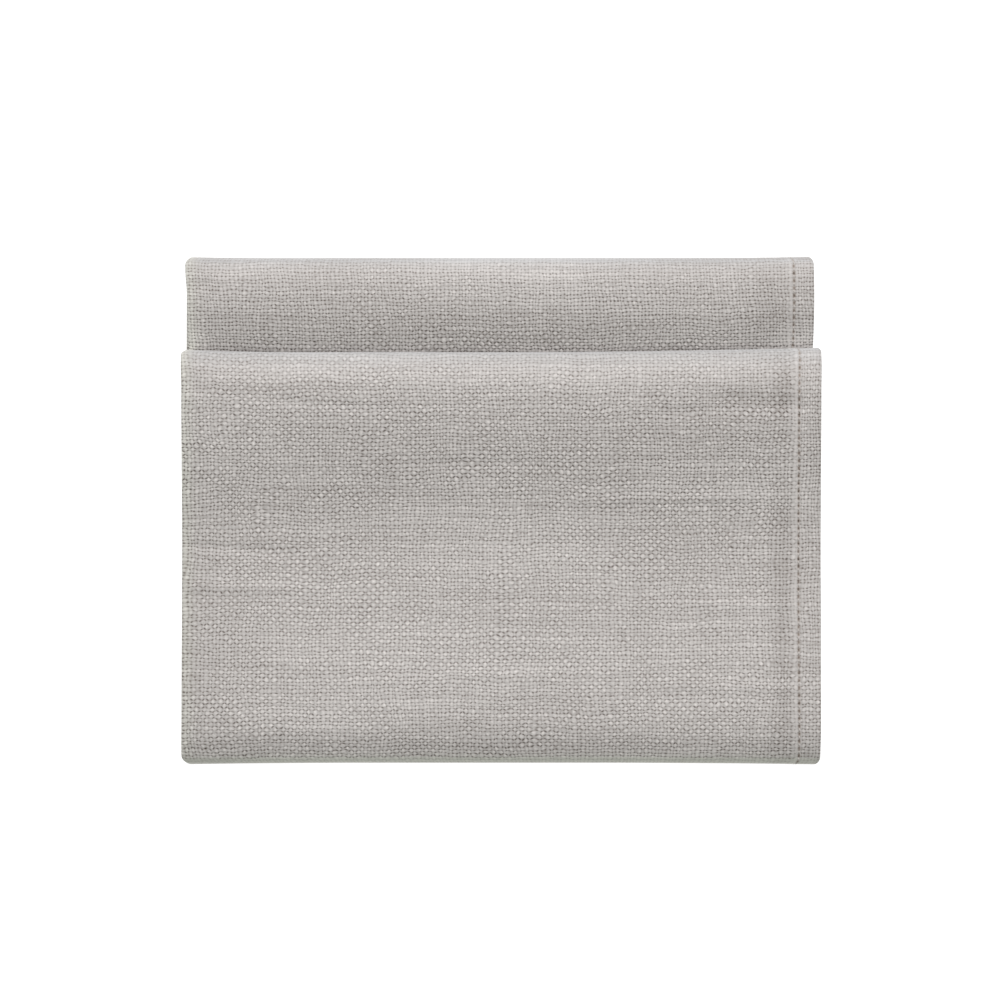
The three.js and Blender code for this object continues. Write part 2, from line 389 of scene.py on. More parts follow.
def placeCloth(line, share, shift, height):
    # across as in plan and off the midline by height; then swung with the bowed edges, lifted with the
    # uneven stack and pressed flat on the table
    x = planX(line, share, shift)
    y = line["y"] + height * line["outY"]
    z = line["z"] + height * line["outZ"]
    return np.stack([x, y + bowAt(x, y), np.maximum(0, z * heightShare(x, y))], axis=-1)


# The hem

hem = dict(
    width=10.5, rise=0.3, slope=1.3,                # turned-in edge, raised over the plain cloth
    plainFrom=13.5,                                 # clear of the hem
    frontStitch=7.85, stripStitch=7.4,              # from the edge to the stitches
    changeFrom=-0.5, changeTo=0.9,                  # one eases into the other between these parts of rearY,
    changeAfter=0.4,                                # past this share of the cloth's length
    stitchWander=0.3, wanderLength=60.0, wanderSeed=11,
    grooveDepth=0.34, grooveWidth=0.6, flattened=0.85,
    underSetback=0.8,                               # the under ply's hem stands back a little
)
columnCounts = dict(edge=6, hem=34, flat=96, hairpin=15, underHem=14, underFlat=30,
                    insideHem=6, insideFlat=26, insideHairpin=7)


def towardStrip(along, y):
    # 0 on the front panel, eased to 1 along the back panel, 1 on the strip
    return (eased(hem["changeFrom"] * rearY, hem["changeTo"] * rearY, y)
            * (along > hem["changeAfter"] * cloth["side"]))


def stitchLine(along, y):
    # distance of the stitches from the edge: the front's eased into the strip's, plus a slow wander
    change = (hem["stripStitch"] - hem["frontStitch"]) * towardStrip(along, y)
    wander = slowNoise(along / hem["wanderLength"], np.zeros_like(along), hem["wanderSeed"])
    return hem["frontStitch"] + change + hem["stitchWander"] * wander


def hemLift(inset, stitchIn, turn):
    # raised over the hem's width, less a bell-shaped groove at the stitches; flattened at the turned edges
    raised = 1 - eased(hem["width"] - hem["slope"] / 2, hem["width"] + hem["slope"] / 2, inset)
    groove = np.exp(-((inset - stitchIn) / hem["grooveWidth"]) ** 2)
    return (hem["rise"] * raised - hem["grooveDepth"] * groove) * (1 - hem["flattened"] * turn)


def plyColumns(ply, outside, hemCount, flatCount):
    # across one face of a ply, from its hem edge to the hairpin: a quarter round, the hem, then flat
    top, bottom = halfLayer, cloth["plyGap"] / 2
    radius = (top - bottom) / 2
    angle = np.linspace(0, math.pi / 2, columnCounts["edge"])
    edgeInset = radius * (1 - np.cos(angle))
    edgeHeight = (top + bottom) / 2 + (1 if outside else -1) * radius * np.sin(angle)
    inset = np.linspace(radius, hem["width"] + hem["slope"], hemCount)[1:]
    share = np.linspace(1 - hem["plainFrom"] / foldedWidth, layer / foldedWidth, flatCount)
    plain = np.full(len(inset) + len(share), top if outside else bottom)
    setback = 0 if ply > 0 else hem["underSetback"]
    shares = np.concatenate([np.ones(len(angle) + len(inset)), share])
    shifts = np.concatenate([-edgeInset - setback, -inset - setback, np.zeros_like(share)])
    heights = np.concatenate([edgeHeight, plain])
    lifted = np.concatenate([np.sin(angle), np.ones(len(plain))]) * outside
    places = foldedWidth * shares + shifts
    return np.column_stack([shares, shifts, ply * heights, ply * places, ply * lifted])


def hairpinColumns(radius, count):
    # half a circle from the outer ply to the under ply, about the middle of the closed left side
    t = np.linspace(0, 1, count)
    angle = math.pi * (0.5 + t)
    nothing = np.zeros(count)
    shifts = halfLayer + radius * np.cos(angle)
    return np.column_stack([nothing, shifts, radius * np.sin(angle), halfLayer * (1 - 2 * t), nothing])


def crossSection():
    # columns are share, shift, height, flat place across the cloth and whether the hem lifts it; once round
    # the outside and back inside
    counts = columnCounts
    outside = np.concatenate([
        plyColumns(1, True, counts["hem"], counts["flat"]),
        hairpinColumns(halfLayer, counts["hairpin"]),
        plyColumns(-1, True, counts["underHem"], counts["underFlat"])[::-1],
    ])
    inside = np.concatenate([
        plyColumns(1, False, counts["insideHem"], counts["insideFlat"])[1:],
        hairpinColumns(cloth["plyGap"] / 2, counts["insideHairpin"]),
        plyColumns(-1, False, counts["insideHem"], counts["insideFlat"])[1:][::-1],
    ])
    return outside, inside


# Making meshes

def meshFrom(name, points, faces, material, smooth=True):
    # faces is a list of whole-number arrays, one row of corners to a face
    mesh = bpy.data.meshes.new(name)
    corners = np.concatenate([block.ravel() for block in faces])
    totals = np.concatenate([np.full(len(block), block.shape[1]) for block in faces])
    mesh.vertices.add(len(points))
    mesh.vertices.foreach_set("co", np.ascontiguousarray(points, dtype=np.float32).ravel())
    mesh.loops.add(len(corners))
    mesh.loops.foreach_set("vertex_index", corners.astype(np.int32))
    mesh.polygons.add(len(totals))
    mesh.polygons.foreach_set("loop_start", (np.cumsum(totals) - totals).astype(np.int32))
    mesh.polygons.foreach_set("use_smooth", np.full(len(totals), smooth))
    mesh.update(calc_edges=True)
    mesh.validate()
    mesh.materials.append(material)
    piece = bpy.data.objects.new(name, mesh)
    bpy.context.scene.collection.objects.link(piece)
    return piece


def addUv(piece, name, pairs):
    # one pair to each face corner
    layerMap = piece.data.uv_layers.new(name=name)
    layerMap.data.foreach_set("uv", np.ascontiguousarray(pairs, dtype=np.float32).ravel())


def addValue(piece, name, values):
    # one number to each point
    store = piece.data.attributes.new(name, "FLOAT", "POINT")
    store.data.foreach_set("value", np.ascontiguousarray(values, dtype=np.float32).ravel())


def atCorners(piece, values):
    # point values carried to the face corners
    index = np.empty(len(piece.data.loops), dtype=np.int32)
    piece.data.loops.foreach_get("vertex_index", index)
    return values[index]


# Linen

# Sizes of the weave are in yarns, but for the pitches and lengths, which are in millimetres
weave = dict(
    warpPitch=1.335, weftPitch=1.30,                                # from yarn to yarn
    strayAcross=0.8, strayAlong=0.45, strayLength=(12.0, 16.0),     # slow bends of the yarns
    acrossSeed=1, alongSeed=2,
    jitter=0.22, wiggle=0.2,                                        # quick bends
    hemCrowding=0.2, stripCrowding=0.045,                           # closer warp at the hem and the strip
    warpStreak=0.5, weftStreak=0.5, longStreak=1.2,                 # lighter and darker yarns
    crossingSeed=5.5,
)

# Noise over the weave: how often it changes in each yarn across and along, and its seed
weaveNoises = dict(
    warpJitter=(0.7, 0.08, 7.5), warpWiggle=(0.3, 0.35, 11.5),
    weftJitter=(0.08, 0.7, 19.5), weftWiggle=(0.35, 0.3, 23.5),
    weftSlub=(0.1, 5.77, 37.5), warpSlub=(7.31, 0.2, 43.5),
    fibre=(1.5, 1.8, 49.5),
    warpStreak=(9.1, 0.06, 61.5), weftStreak=(0.12, 5.3, 64.5), longStreak=(0.03, 9.7, 67.5),
)


def weaveNoise(look, name, x, y, detail=0.0):
    # smooth noise at a place counted in yarns
    perX, perY, seed = weaveNoises[name]
    return look.noise(x * perX, y * perY, seed, detail)


def bendYarns(look, x, y):
    # the place in yarns, plus the slow bends kept on the points, plus two quick noises
    warp = (x + look.stored("strayAcross") + weaveNoise(look, "warpJitter", x, y) * weave["jitter"]
            + weaveNoise(look, "warpWiggle", x, y) * weave["wiggle"])
    weft = (y + look.stored("strayAlong") + weaveNoise(look, "weftJitter", x, y) * weave["jitter"]
            + weaveNoise(look, "weftWiggle", x, y) * weave["wiggle"])
    return warp, weft


gaps = dict(
    across=0.27, along=0.185, stray=0.36, acrossSeed=3.5, alongSeed=4.5,
    size=0.95, sizeChance=0.7, weftSlub=0.3, warpSlub=0.2, sizeLimits=(0.25, 1.2), sizeSeed=2.5,
    lean=1.6, mostLean=1.3,                         # slanted where the floats stand out
    rim=0.38, rimSpread=0.35,                       # a light rim round each gap
)


# Painted shade in the gaps between the yarns
def darkGaps(look, x, y, corner, chequer):
    # slanted two-way bell at each corner between crossings, less a wider bell that leaves the rim
    column, row, offX, offY = corner
    slubs = (weaveNoise(look, "weftSlub", x, row) * gaps["weftSlub"]
             + weaveNoise(look, "warpSlub", column, y) * gaps["warpSlub"])
    size = slubs + look.chance(column, row, gaps["sizeSeed"]) * gaps["sizeChance"] + gaps["size"]
    gapX = (offX + look.chance(column, row, gaps["acrossSeed"]) * gaps["stray"]) / gaps["across"]
    gapY = (offY + look.chance(column, row, gaps["alongSeed"]) * gaps["stray"]) / gaps["along"]
    lean = look.side(column + row) * look.clamp(chequer * gaps["lean"], -gaps["mostLean"], gaps["mostLean"])
    spread = (gapX * gapX + gapY * gapY + lean * gapX * gapY) * -1.0
    gap = (look.sum("EXPONENT", spread) * (1 + gaps["rim"])
           - look.sum("EXPONENT", spread * gaps["rimSpread"]) * gaps["rim"])
    return gap * look.clamp(size, *gaps["sizeLimits"])


seams = dict(
    row=0.6, rowWidth=0.17, column=0.35, columnWidth=0.15,
    swing=0.16, swingMore=0.3, mostSwing=1.2,       # they wind round the floats
)


# Painted shade along the seams between the yarns
def darkSeams(look, warp, weft, corner, chequer):
    # bells along the lines between the yarns, swung from side to side as a sine
    column, row, offX, offY = corner
    swing = look.clamp(chequer + seams["swingMore"], 0.0, seams["mostSwing"]) * seams["swing"]
    rowSwing = look.sum("SINE", warp * math.pi) * look.side(row) * swing
    columnSwing = look.sum("SINE", weft * math.pi) * look.side(column) * swing
    return (look.bell(offY + rowSwing, seams["rowWidth"]) * seams["row"]
            + look.bell(offX + columnSwing, seams["columnWidth"]) * seams["column"])


needleHole = dict(
    across=0.38, along=0.62, depth=0.43, colour=(0.5, 0.415, 0.36, 1.0),
    stray=0.5, straySeed=8.5,
    fade=0.65,                                      # over the two rear edges
    quietIn=0.7, quietWidth=1.6, quiet=0.6,         # the weave closes up beside the stitches
)


def punchedHoles(look, along, fromStitch, stitchPitch):
    # two-way bell between each stitch and the next, deeper or shallower by chance
    number = look.sum("FLOOR", along / stitchPitch + 0.5)
    return (look.bell(fromStitch, needleHole["across"])
            * look.bell(look.sum("PINGPONG", along, stitchPitch / 2), needleHole["along"])
            * (1 + look.chance(number, 0.0, needleHole["straySeed"]) * needleHole["stray"])
            * (1 - look.stored("paintedSheen") * needleHole["fade"]))


# Painted shade beside the stitches, at the hem's edge and along the closed left side; painted light on a
# ridge
hemShade = dict(
    flatIn=-3.2, flatWidth=3.2, flat=0.018,
    edgeWidth=1.5, edge=0.06,
    foldWidth=8.0, fold=0.022,
    ridgeIn=1.2, ridgeWidth=0.7, ridge=0.03,
)


def hemBands(look, across, fromStitch):
    # sum of bells over the distance from each line
    return (look.bell(fromStitch - hemShade["flatIn"], hemShade["flatWidth"]) * hemShade["flat"]
            + look.bell(foldedWidth - across, hemShade["edgeWidth"]) * hemShade["edge"]
            + look.bell(across, hemShade["foldWidth"]) * hemShade["fold"]
            - look.bell(fromStitch - hemShade["ridgeIn"], hemShade["ridgeWidth"]) * hemShade["ridge"])


linen = dict(
    yarnColour=(0.467, 0.442, 0.432, 1.0),
    paintedSheenColour=(0.388, 0.382, 0.384, 1.0),              # painted sheen: greyer and darker along the two rear edges
    nearBounceColour=(0.545, 0.54, 0.495, 1.0),               # painted bounce light: paler along the near fold
    sidePale=0.6, sideIn=0.5, sideWidth=3.0,            # and along the closed left side
    gapColour=(0.56, 0.432, 0.36, 1.0),                 # the warmer colour that darker tones blend towards, painted shade among them
    openTone=1.04, toneLimits=(0.25, 1.5), toneCurve=2.2,
    # painted highlight on the floats; chance tones for crossings, fibres and streaks
    floatLight=0.058, crossLight=0.07, fibreLight=0.1, streak=0.03,
    roundLight=0.085, roundMiddle=0.4,                  # painted highlight where the yarns arch up
    # painted shade along the seams and in the gaps
    seamDepth=0.09, gapDepth=0.36,
    # rim is painted shade on the rear fold's very edge
    drift=0.024, driftLength=(60.0, 30.0), driftSeed=5, rim=0.035,      # slow change of tone
    roughness=0.92, sheen=0.12, sheenRoughness=0.5, gloss=0.2,
    bumpHeight=0.2 * mm, bumpStrength=0.4,
    floatHigh=0.15, archHigh=0.4, gapDeep=0.6, holeDeep=0.8,            # shares of the bump's height
)


# Painted shade in the gaps and seams, painted highlights on the floats and arches
def makeLinen(stitchPitch):
    # plain weave from two sets of straying yarns: dark gaps at the corners of the yarn grid, light floats
    # in a chequer that comes and goes, and a chance tone for each crossing
    look = Look("linen")
    place = look.add("ShaderNodeSeparateXYZ", Vector=look.add("ShaderNodeUVMap", {"uv_map": "clothUv"}))
    across, along = place, place.output(1)
    x, y = across / weave["warpPitch"], along / weave["weftPitch"]
    warp, weft = bendYarns(look, x, y)
    chequer = look.stored("chequer")

    # crossings, and the corners between them, numbered by column and row
    column, row = look.sum("FLOOR", warp), look.sum("FLOOR", weft)
    cornerColumn, cornerRow = look.sum("FLOOR", warp + 0.5), look.sum("FLOOR", weft + 0.5)
    corner = (cornerColumn, cornerRow, warp - cornerColumn, weft - cornerRow)
    gap = darkGaps(look, x, y, corner, chequer)
    seam = darkSeams(look, warp, weft, corner, chequer)
    arch = (look.sum("COSINE", (warp - column - 0.5) * math.pi)
            * look.sum("COSINE", (weft - row - 0.5) * math.pi))
    raised = look.side(column + row) * arch * chequer
    crossing = look.chance(column, row, weave["crossingSeed"]) * arch
    fibre = weaveNoise(look, "fibre", x, y, detail=1.0)
    streak = (weaveNoise(look, "warpStreak", column, y) * weave["warpStreak"]
              + weaveNoise(look, "weftStreak", x, row) * weave["weftStreak"]
              + weaveNoise(look, "longStreak", x, row) * weave["longStreak"])

    # the weave closes up beside the stitches; its painted shade and highlights change with steepness over the
    # folds
    fromStitch = look.stored("fromStitch")
    hole = punchedHoles(look, along, fromStitch, stitchPitch)
    quiet = look.bell(fromStitch - needleHole["quietIn"], needleHole["quietWidth"]) * needleHole["quiet"]
    openness = look.stored("open") * (1 - quiet)
    pattern = (raised * linen["floatLight"] + crossing * linen["crossLight"]
               + (arch - linen["roundMiddle"]) * linen["roundLight"] + fibre * linen["fibreLight"]
               - seam * linen["seamDepth"] - gap * linen["gapDepth"])
    # drift holds a slow chance tone plus painted shade and light
    tone = (linen["openTone"] + pattern * openness + streak * linen["streak"] + look.stored("drift")
            - hole * needleHole["depth"] - hemBands(look, across, fromStitch))

    # painted sheen on the two rear edges, which face the light
    yarn = look.blend(look.stored("paintedSheen"), linen["yarnColour"], linen["paintedSheenColour"])
    # painted bounce light along the near fold and the closed left side
    yarn = look.blend(look.stored("nearTurn"), yarn, linen["nearBounceColour"])
    tint = look.blend(look.clamp(tone, 0.0, 1.0), linen["gapColour"], yarn)
    tint = look.blend(hole, tint, needleHole["colour"])
    depth = look.clamp(tone, *linen["toneLimits"]) ** linen["toneCurve"]
    colour = look.add("ShaderNodeVectorMath", {"operation": "SCALE"}, Vector=tint, Scale=depth)
    relief = ((raised * linen["floatHigh"] + arch * linen["archHigh"] - gap * linen["gapDeep"]) * openness
              - hole * linen["holeDeep"])
    bump = look.add("ShaderNodeBump", Strength=linen["bumpStrength"], Distance=linen["bumpHeight"],
                    Height=relief)
    shader = look.add("ShaderNodeBsdfPrincipled", Base_Color=colour, Normal=bump,
                      Roughness=linen["roughness"], Specular_IOR_Level=linen["gloss"],
                      Sheen_Weight=linen["sheen"], Sheen_Roughness=linen["sheenRoughness"])
    look.add("ShaderNodeOutputMaterial", Surface=shader)
    return look.material


# The napkin

# How far single floats stand out
floats = dict(
    front=0.71, stripFoot=0.5, rearFold=0.06,
    hemLess=0.12, sideLess=0.5, sideWidth=11.0,
    patches=0.4, patchLength=(46.0, 22.0), patchSeed=15409,
    flecks=0.5, fleckLength=(6.0, 4.0), fleckSeed=4,
    limits=(-0.4, 1.2),
)

# Painted shade in a band beside the stitches: its tone, how far in it lies and how wide it is, and its share
# of that tone at places back from the middle
hemValley = dict(
    front=dict(tone=0.075, inset=5.6, width=3.6),
    strip=dict(tone=0.07, inset=8.5, width=6.0),
    places=(-86.0, -40.0, 0.0, 14.0, 30.0, 36.0, 44.0, 54.0, 60.0, 78.0, 86.0),
    shares=(0.6, 1.1, 0.9, 0.3, 0.3, 1.0, 0.9, 0.4, 0.8, 1.0, 0.3),
)

# Painted soft shades and lights, in plan: the panel, the middle, how far they reach across and back, and the
# tone they add
shades = [
    dict(panel="strip", middle=(0.0, 66.3), reach=(900.0, 5.0), tone=-0.036),
    dict(panel="strip", middle=(-112.0, 58.0), reach=(10.0, 10.0), tone=0.16),    # light comes in at the ends
    dict(panel="strip", middle=(110.0, 57.0), reach=(18.0, 9.0), tone=0.15),
    dict(panel="strip", middle=(-110.0, 85.0), reach=(16.0, 5.0), tone=-0.045),
    dict(panel="strip", middle=(0.0, 58.0), reach=(900.0, 4.0), tone=0.022),
    dict(panel="front", middle=(0.0, -82.4), reach=(900.0, 3.6), tone=-0.018),
    dict(panel="front", middle=(0.0, -14.0), reach=(900.0, 14.0), tone=-0.008),
    dict(panel="front", middle=(0.0, 19.0), reach=(900.0, 14.0), tone=0.012),
    dict(panel="front", middle=(91.0, 39.0), reach=(14.0, 8.0), tone=-0.055),     # painted shade of a pucker beside the hem
    dict(panel="front", middle=(62.0, 32.0), reach=(24.0, 12.0), tone=-0.022),
    dict(panel="front", middle=(-110.0, -58.0), reach=(14.0, 26.0), tone=-0.02),
    dict(panel="front", middle=(112.0, -82.0), reach=(9.0, 6.0), tone=0.04),
    dict(panel="front", middle=(-109.0, -82.0), reach=(9.0, 6.0), tone=0.045),
    dict(panel="front", middle=(89.0, 3.0), reach=(30.0, 8.0), tone=0.03),
    dict(panel="front", middle=(104.5, 23.0), reach=(4.5, 18.0), tone=0.042),     # along the stitches
    dict(panel="front", middle=(109.5, -44.0), reach=(4.0, 13.0), tone=-0.035),
    dict(panel="front", middle=(4.0, -48.0), reach=(26.0, 12.0), tone=0.026),
]


def hemValleyShade(line, fromStitch):
    # painted shade: a bell over the distance from the stitches, with one size on the front and one on the
    # strip
    front, strip = hemValley["front"], hemValley["strip"]
    tone, inset, spread = (front[key] + (strip[key] - front[key]) * line["strip"]
                           for key in ("tone", "inset", "width"))
    share = np.interp(line["y"], hemValley["places"], hemValley["shares"])
    return tone * share * np.exp(-((fromStitch - inset) / spread) ** 2)


def softShade(line, x):
    # sum of two-way bells
    total = np.zeros_like(x)
    for shade in shades:
        offX = (x - shade["middle"][0]) / shade["reach"][0]
        offY = (line["y"] - shade["middle"][1]) / shade["reach"][1]
        total += shade["tone"] * line[shade["panel"]] * np.exp(-offX ** 2 - offY ** 2)
    return total


def storeLooks(piece, line, across, x):
    # what the linen reads at each point: slow noises, bells across the cloth and the changes over the folds
    along = line["along"]
    fromStitch = foldedWidth - line["stitchIn"] - across

    def keep(name, values):
        # one value spread over all points
        addValue(piece, name, np.broadcast_to(values, x.shape))

    def noiseOver(length, seed):
        # slow noise with the given lengths across and along the cloth
        return slowNoise(across / length[0], along / length[1], seed)

    crowded = (weave["hemCrowding"] * np.maximum(0, across - foldedWidth + hem["frontStitch"])
               + weave["stripCrowding"] * across * line["toStrip"])
    stray = weave["strayAcross"] * noiseOver(weave["strayLength"], weave["acrossSeed"])
    keep("strayAcross", stray + crowded / weave["warpPitch"])
    keep("strayAlong", weave["strayAlong"] * noiseOver(weave["strayLength"][::-1], weave["alongSeed"]))

    strip = np.interp(line["y"], (frontTopY, rearY), (floats["stripFoot"], floats["rearFold"]))
    chequer = (np.where(line["front"] > 0, floats["front"], strip) - floats["hemLess"] * (fromStitch < 0)
               - floats["sideLess"] * np.exp(-(across / floats["sideWidth"]) ** 2)
               + floats["patches"] * noiseOver(floats["patchLength"], floats["patchSeed"])
               + floats["flecks"] * noiseOver(floats["fleckLength"], floats["fleckSeed"]))
    keep("chequer", np.clip(chequer, *floats["limits"]))

    # drift: a slow chance tone plus the painted rim, soft shades and band beside the hem
    drift = linen["drift"] * noiseOver(linen["driftLength"], linen["driftSeed"])
    keep("drift", drift - linen["rim"] * line["rim"] + softShade(line, x) - hemValleyShade(line, fromStitch))
    # painted bounce light along the closed left side, kept with the near fold's
    sideTurn = linen["sidePale"] * np.exp(-((across - linen["sideIn"]) / linen["sideWidth"]) ** 2)
    keep("nearTurn", np.maximum(line["nearTurn"], sideTurn))
    keep("open", line["open"])
    keep("paintedSheen", line["paintedSheen"])
    keep("fromStitch", fromStitch)


# How the bake map is shared out: across by face, along by what shows; the tuck has the rest
bakeMap = dict(
    faceShare=0.93, restFrom=0.945, margin=0.004, endMargin=0.001, rowMargin=0.008,
    flap=0.03, front=0.54, back=0.24, strip=0.15,
    tipReach=1.0, tuckFrom=0.9,                     # millimetres past a turned edge, share of frontTopY
)


def bakePlaces(line, outside, inside, cap):
    # the outer face takes most of the width and all else a narrow band; along the cloth each stretch has its
    # share; the two ends lie in the margins
    margin, along, y = bakeMap["margin"], line["along"], line["y"]
    rows, columns = len(along), len(outside) + len(inside)
    flat = outside[:, 3]
    middle = int(np.abs(flat).argmin())
    face = margin + (flat[:middle + 1].max() - flat[:middle + 1]) / flat.max() * bakeMap["faceShare"]
    rest = np.linspace(bakeMap["restFrom"], 1 - margin, columns - middle + 1)
    left, right = np.concatenate([face[:-1], rest[:-1]]), np.concatenate([face[1:], rest[1:]])

    tips = [np.flatnonzero(np.abs(y - edge["tipY"]) < halfLayer + edge["radius"] + bakeMap["tipReach"])
            for edge in turnedEdges]
    frontStart, backStart, stripStart = tips[0][0], tips[1][-1], tips[2][0]
    tuckStart = stripStart + int(np.argmax(y[stripStart:] < bakeMap["tuckFrom"] * frontTopY))
    breaks = along[[0, frontStart, backStart, stripStart, tuckStart, rows - 1]]
    shares = np.cumsum([0] + [bakeMap[key] for key in ("flap", "front", "back", "strip")])
    rowMargin = bakeMap["rowMargin"]
    up = np.interp(along, breaks, np.append(rowMargin + shares * (1 - 2 * rowMargin), 1 - rowMargin))

    low, high = (np.broadcast_to(edge, (rows - 1, columns)) for edge in (left, right))
    near, far = (np.broadcast_to(edge[:, None], (rows - 1, columns)) for edge in (up[:-1], up[1:]))
    corners = [np.stack(pair, axis=-1) for pair in ((low, near), (high, near), (high, far), (low, far))]
    quads = np.stack(corners, axis=2).reshape(-1, 2)
    outer = np.linspace(margin, 1 - margin, len(outside))
    inner = np.linspace(1 - margin, margin, len(inside))
    ends = np.column_stack([np.concatenate([outer, inner]),
                            np.repeat([bakeMap["endMargin"], margin], [len(outer), len(inner)])])
    farEnds = ends * [1, -1] + [0, 1]
    return np.concatenate([quads, ends[cap.ravel()], farEnds[cap[:, ::-1].ravel()]])


def endCap(outside, inside):
    # rungs from each outside column to the inside column nearest to it across the flat cloth
    partner = np.abs(outside[:, 3][:, None] - inside[:, 3][None, :]).argmin(axis=1)
    inner = len(outside) + len(inside) - 1 - np.maximum.accumulate(partner)
    outer = np.arange(len(outside))
    fans = np.stack([outer[:-1], inner[:-1], outer[1:]], axis=-1)
    steps = np.stack([outer[1:], inner[:-1], inner[1:]], axis=-1)[inner[:-1] != inner[1:]]
    return np.concatenate([fans, steps])


def makeNapkin(line, material):
    # the cross-section carried along the midline, with its two ends closed
    outside, inside = crossSection()
    outline = np.concatenate([outside, inside[::-1]])
    stations = {key: value[:, None] for key, value in line.items()}
    share, shift, height, across, lifted = (column[None, :] for column in outline.T)
    inset = foldedWidth - np.abs(across) - hem["underSetback"] * (across < 0)
    x = planX(stations, share, shift)
    lift = lifted * hemLift(inset, stations["stitchIn"], stations["turn"])
    lift += np.maximum(lifted, 0) * (stations["front"] + stations["strip"]) * creaseLift(x, stations["y"])
    points = placeCloth(stations, share, shift, height + lift)

    rows, columns = points.shape[:2]
    index = np.arange(rows * columns).reshape(rows, columns)
    right = np.roll(index, -1, axis=1)
    quads = np.stack([index[:-1], right[:-1], right[1:], index[1:]], axis=-1).reshape(-1, 4)
    cap = endCap(outside, inside)
    faces = [quads, cap, cap[:, ::-1] + (rows - 1) * columns]

    # the solid's own place on the table
    flat = points.reshape(-1, 3)
    low, high = (np.array(corner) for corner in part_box("napkin"))
    middle = (flat.min(axis=0) + flat.max(axis=0)) / 2 * mm
    offset = np.array([(low[0] + high[0]) / 2 - middle[0], (low[1] + high[1]) / 2 - middle[1], 0.0])
    piece = meshFrom("foldedNapkin", flat * mm + offset, faces, material)

    # places on the flat cloth in millimetres
    places = np.stack(np.broadcast_arrays(across, stations["along"]), axis=-1).reshape(-1, 2)
    addUv(piece, "clothUv", atCorners(piece, places))
    addUv(piece, "OFBake", bakePlaces(line, outside, inside, cap))
    storeLooks(piece, stations, across, x)
    return piece, offset


# Stitches

stitches = dict(
    pitch=2.67, radius=0.26, sides=6, rings=9,
    reach=0.64,                      # share of the pitch that a stitch spans
    rise=0.1, dive=0.5,              # the thread's middle stands proud of the groove, its ends dive in
    archPower=0.7, thinnest=0.15,    # a blunt arch, and the thread's ends
    slant=0.1,
)


def makeStitches(line, offset, material):
    # one short tube for each stitch: its axis rises as a sine arch from needle hole to needle hole
    along, rings, sides = line["along"], stitches["rings"], stitches["sides"]
    count = int((along[-1] - along[0]) / stitches["pitch"]) - 1
    t = np.linspace(0, 1, rings)
    place = (np.arange(count)[:, None] + 0.5 + stitches["reach"] * (t[None, :] - 0.5)) * stitches["pitch"]
    rise = stitches["dive"] + stitches["rise"]
    lift = (rise * np.sin(math.pi * t) ** stitches["archPower"] - stitches["dive"])[:, None]
    slant = (stitches["slant"] * (2 * t - 1))[:, None]
    fat = stitches["radius"] * np.sqrt(np.clip(np.sin(math.pi * t), stitches["thinnest"], 1))[:, None]
    angle = np.linspace(0, 2 * math.pi, sides, endpoint=False)

    stations = {key: np.interp(place, along, value)[:, :, None] for key, value in line.items()}
    groove = halfLayer + hemLift(stations["stitchIn"], stations["stitchIn"], stations["turn"])
    shift = slant + fat * np.cos(angle) - stations["stitchIn"]
    height = groove + lift + fat * np.sin(angle)
    points = placeCloth(stations, 1.0, shift, height)

    index = np.arange(count * rings * sides).reshape(count, rings, sides)
    beside = np.roll(index, -1, axis=2)
    quads = np.stack([index[:, :-1], index[:, 1:], beside[:, 1:], beside[:, :-1]], axis=-1).reshape(-1, 4)
    caps = np.concatenate([index[:, 0, :], index[:, -1, ::-1]])
    piece = meshFrom("hemStitches", points.reshape(-1, 3) * mm + offset, [quads, caps], material)
    places = np.stack(np.broadcast_arrays(place[:, :, None], np.arange(sides) / sides), axis=-1)
    addUv(piece, "threadUv", atCorners(piece, places.reshape(-1, 2)))
    return piece


thread = dict(
    colour=(0.52, 0.485, 0.465, 1.0), shade=(0.41, 0.375, 0.35, 1.0),
    twist=0.55, plies=2,
    roughness=0.8, sheen=0.15, bumpHeight=0.08 * mm, bumpStrength=0.4,
)


def makeThread():
    # slanting dark lines between the thread's plies, as a sine of the place along and round it
    look = Look("sewingThread")
    place = look.add("ShaderNodeSeparateXYZ", Vector=look.add("ShaderNodeUVMap", {"uv_map": "threadUv"}))
    turn = place / thread["twist"] + place.output(1) * thread["plies"]
    ply = look.sum("SINE", turn * (2 * math.pi)) * 0.5 + 0.5
    colour = look.blend(ply, thread["shade"], thread["colour"])
    bump = look.add("ShaderNodeBump", Strength=thread["bumpStrength"], Distance=thread["bumpHeight"],
                    Height=ply)
    shader = look.add("ShaderNodeBsdfPrincipled", Base_Color=colour, Normal=bump,
                      Roughness=thread["roughness"], Sheen_Weight=thread["sheen"])
    look.add("ShaderNodeOutputMaterial", Surface=shader)
    return look.material


line = traceMidline()
print("midline traced, length along the outer face", round(float(line["along"][-1]), 1), "mm")
napkin, offset = makeNapkin(line, makeLinen(stitches["pitch"]))
print("napkin made,", len(napkin.data.polygons), "faces")
hemStitches = makeStitches(line, offset, makeThread())
print("stitches made,", len(hemStitches.data.polygons), "faces")

for piece in (napkin, hemStitches):
    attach(piece, "root")
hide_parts("napkin")


# Studio

studio = dict(
    floorSize=6.0, floorDrop=0.2 * mm, floorColour=(0.4, 0.4, 0.4, 1.0), floorRoughness=0.9,
    glowColour=(1.0, 1.0, 1.0, 1.0), floorGlow=0.88,
    skyColour=(0.97, 1.0, 0.955, 1.0), skyStrength=0.42,
    keyAzimuth=3.0, keyHeight=42.0, keyDistance=3.4,      # degrees right of the rear, degrees up, metres
    keySize=1.6, keyPower=114.0, keyColour=(1.0, 0.985, 0.99),
)


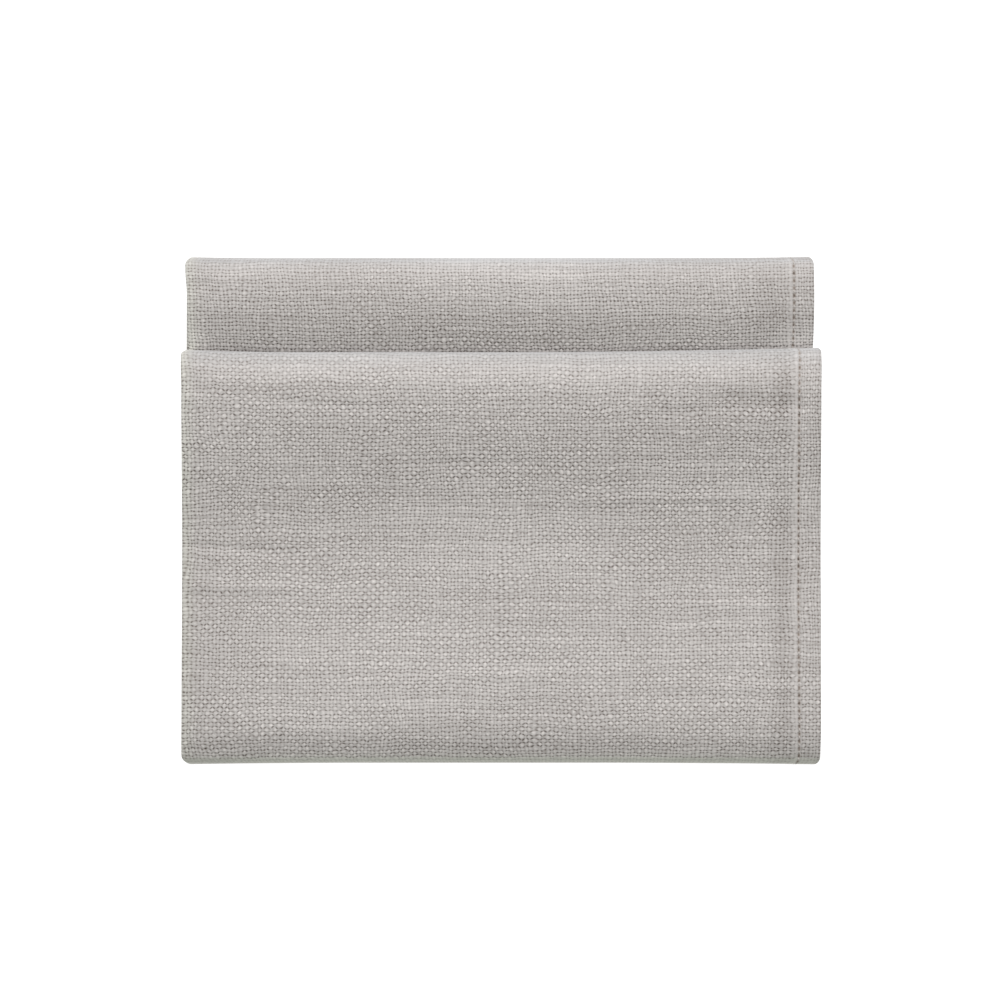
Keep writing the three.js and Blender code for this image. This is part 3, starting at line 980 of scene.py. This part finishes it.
def makeFloor():
    # a flat white square just under the cloth, lit from within so that shadows stay faint
    half, z = studio["floorSize"] / 2, -studio["floorDrop"]
    corners = np.array([[-half, -half, z], [half, -half, z], [half, half, z], [-half, half, z]])
    look = Look("paleFloor")
    shader = look.add("ShaderNodeBsdfPrincipled", Base_Color=studio["floorColour"],
                      Roughness=studio["floorRoughness"],
                      Emission_Color=studio["glowColour"], Emission_Strength=studio["floorGlow"])
    look.add("ShaderNodeOutputMaterial", Surface=shader)
    floor = meshFrom("floor", corners, [np.array([[0, 1, 2, 3]])], look.material, smooth=False)


def makeLights():
    # an even sky, and one soft square light on a sphere about the origin, turned to face it
    world = bpy.data.worlds.new("studioSky")
    bpy.context.scene.world = world
    world.use_nodes = True
    sky = world.node_tree.nodes["Background"]
    sky.inputs["Color"].default_value = studio["skyColour"]
    sky.inputs["Strength"].default_value = studio["skyStrength"]
    key = bpy.data.lights.new("softKey", "AREA")
    key.shape = "SQUARE"
    key.size = studio["keySize"]
    key.energy = studio["keyPower"]
    key.color = studio["keyColour"]
    lamp = bpy.data.objects.new("softKey", key)
    azimuth, up = math.radians(studio["keyAzimuth"]), math.radians(studio["keyHeight"])
    reach, z = studio["keyDistance"] * math.cos(up), studio["keyDistance"] * math.sin(up)
    lamp.location = (reach * math.sin(azimuth), reach * math.cos(azimuth), z)
    lamp.rotation_euler = (up - math.pi / 2, 0, -azimuth)
    bpy.context.scene.collection.objects.link(lamp)


# Straight above. Pixels are those of the photo's frame: how wide the front panel is, and where the napkin's
# middle lies.
camera = dict(
    height=1200.0, frontZ=10.0, sensor=36.0,        # millimetres
    photoPixels=1000, frontPixels=640.3, middle=(501.05, 510.6),
)


def makeCamera():
    # the lens that gives the front panel its pixels at its own height, moved to put the middle in place
    perPixel = foldedWidth / camera["frontPixels"]
    lens = bpy.data.cameras.new("overhead")
    lens.sensor_width = camera["sensor"]
    lens.sensor_fit = "HORIZONTAL"
    lens.lens = camera["sensor"] * (camera["height"] - camera["frontZ"]) / (perPixel * camera["photoPixels"])
    overhead = bpy.data.objects.new("overhead", lens)
    half = camera["photoPixels"] / 2
    x = (half - camera["middle"][0]) * perPixel
    y = (camera["middle"][1] - half) * perPixel
    overhead.location = (x * mm, y * mm, camera["height"] * mm)
    bpy.context.scene.collection.objects.link(overhead)
    bpy.context.scene.camera = overhead


makeFloor()
makeLights()
makeCamera()
bpy.context.scene.view_settings.view_transform = "Standard"
print("studio ready")
